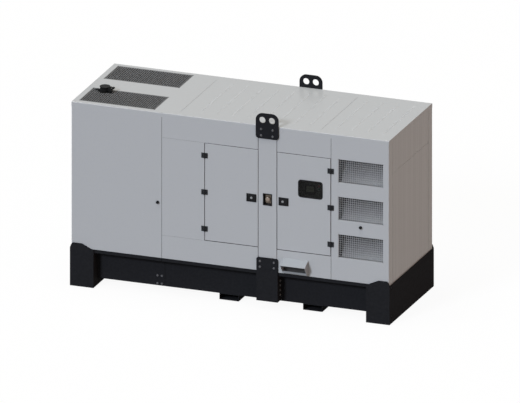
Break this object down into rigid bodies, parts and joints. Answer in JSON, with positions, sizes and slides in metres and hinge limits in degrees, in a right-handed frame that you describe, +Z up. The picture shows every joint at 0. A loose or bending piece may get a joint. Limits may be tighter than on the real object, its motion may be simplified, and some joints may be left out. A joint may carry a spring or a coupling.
{
  "type": "enclosed diesel generator",
  "caption": "Sound-damped diesel generator set on a steel skid, with doors, inlet and outlet grilles, lifting plates, fork pockets and a rain-capped exhaust.",
  "frame": {"origin": "on the ground under the middle of the skid", "axes": "+X along the skid to the end with the air inlets, -Y to the front with the control window, +Z up"},
  "size_m": [3.8, 1.594, 2.31],
  "materials": {
    "skid_black": "satin black paint",
    "canopy_grey": "smooth light grey powder coat",
    "lining": "dark sound-damping lining sheet",
    "outlet_mesh": "dark grey fine mesh",
    "black_plastic": "moulded black plastic",
    "window_glass": "smoked clear sheet in a rubber rim",
    "bronze_button": "bronze coloured button",
    "exhaust_steel": "heat-proof dark grey paint",
    "engine_paint": "grey engine enamel",
    "core_metal": "dark finned core",
    "cabinet_grey": "grey cabinet enamel",
    "panel_face": "dark control panel with buttons"
  },
  "bodies": {
    "generator": {"right_foot": "skid_black", "left_foot": "skid_black", "side_rails": "skid_black", "fork_pockets": "skid_black", "deck": "skid_black", "lifting_brackets": "skid_black", "lifting_plates": "skid_black", "lifting_posts": "skid_black", "lifting_beam": "skid_black", "front_end_panel": "canopy_grey", "front_fixed_panel": "canopy_grey", "front_headers": "canopy_grey", "front_sills": "canopy_grey", "front_post": "canopy_grey", "front_inlet_wall": "canopy_grey", "back_wall": "canopy_grey", "back_inlet_wall": "canopy_grey", "back_doors": "canopy_grey", "back_door_fittings": "black_plastic", "end_walls": "canopy_grey", "roof_outlet_section": "canopy_grey", "roof_centre": "canopy_grey", "roof_right": "canopy_grey", "roof_grilles": "outlet_mesh", "inlet_grilles": "canopy_grey", "inlet_splitters": "canopy_grey", "door_frames": "canopy_grey", "hinge_wall_leaves": "black_plastic", "stop_housing": "black_plastic", "cable_hoods": "canopy_grey", "panel_knobs": "black_plastic", "silencer": "exhaust_steel", "engine_bearers": "skid_black", "engine": "engine_paint", "fan": "black_plastic", "radiator": "core_metal", "bulkhead": "lining", "alternator": "engine_paint", "control_cabinet": "cabinet_grey", "control_panel": "panel_face"},
    "left_door_body": {"left_door": "canopy_grey", "left_door_hinges": "black_plastic", "left_latch": "black_plastic"},
    "right_door_body": {"right_door": "canopy_grey", "right_door_hinges": "black_plastic", "right_latch": "black_plastic", "door_window": "window_glass"},
    "left_paddle_body": {"left_paddle": "black_plastic"},
    "right_paddle_body": {"right_paddle": "black_plastic"},
    "rain_cap_body": {"rain_cap": "exhaust_steel"},
    "stop_button_body": {"stop_button": "bronze_button"}
  },
  "joints": [
    {"name": "left_door_hinge", "type": "hinge", "parent": "generator", "child": "left_door_body", "pos_m": [-0.305, -0.693, 0.722], "axis": [0, 0, -1], "range_deg": [0, 115]},
    {"name": "right_door_hinge", "type": "hinge", "parent": "generator", "child": "right_door_body", "pos_m": [1.195, -0.693, 0.722], "axis": [0, 0, 1], "range_deg": [0, 115]},
    {"name": "left_paddle_pivot", "type": "hinge", "parent": "left_door_body", "child": "left_paddle_body", "pos_m": [0.252, -0.681, 1.3205], "axis": [-1, 0, 0], "range_deg": [0, 40], "stiffness_Nm_per_rad": 0.3},
    {"name": "right_paddle_pivot", "type": "hinge", "parent": "right_door_body", "child": "right_paddle_body", "pos_m": [0.634, -0.681, 1.3205], "axis": [-1, 0, 0], "range_deg": [0, 40], "stiffness_Nm_per_rad": 0.3},
    {"name": "rain_cap_hinge", "type": "hinge", "parent": "generator", "child": "rain_cap_body", "pos_m": [-1.597, -0.215, 2.212], "axis": [0, 1, 0], "range_deg": [0, 50]},
    {"name": "stop_button_push", "type": "slide", "parent": "generator", "child": "stop_button_body", "axis": [0, 1, 0], "range_m": [0, 0.006], "stiffness_N_per_m": 400}
  ]
}
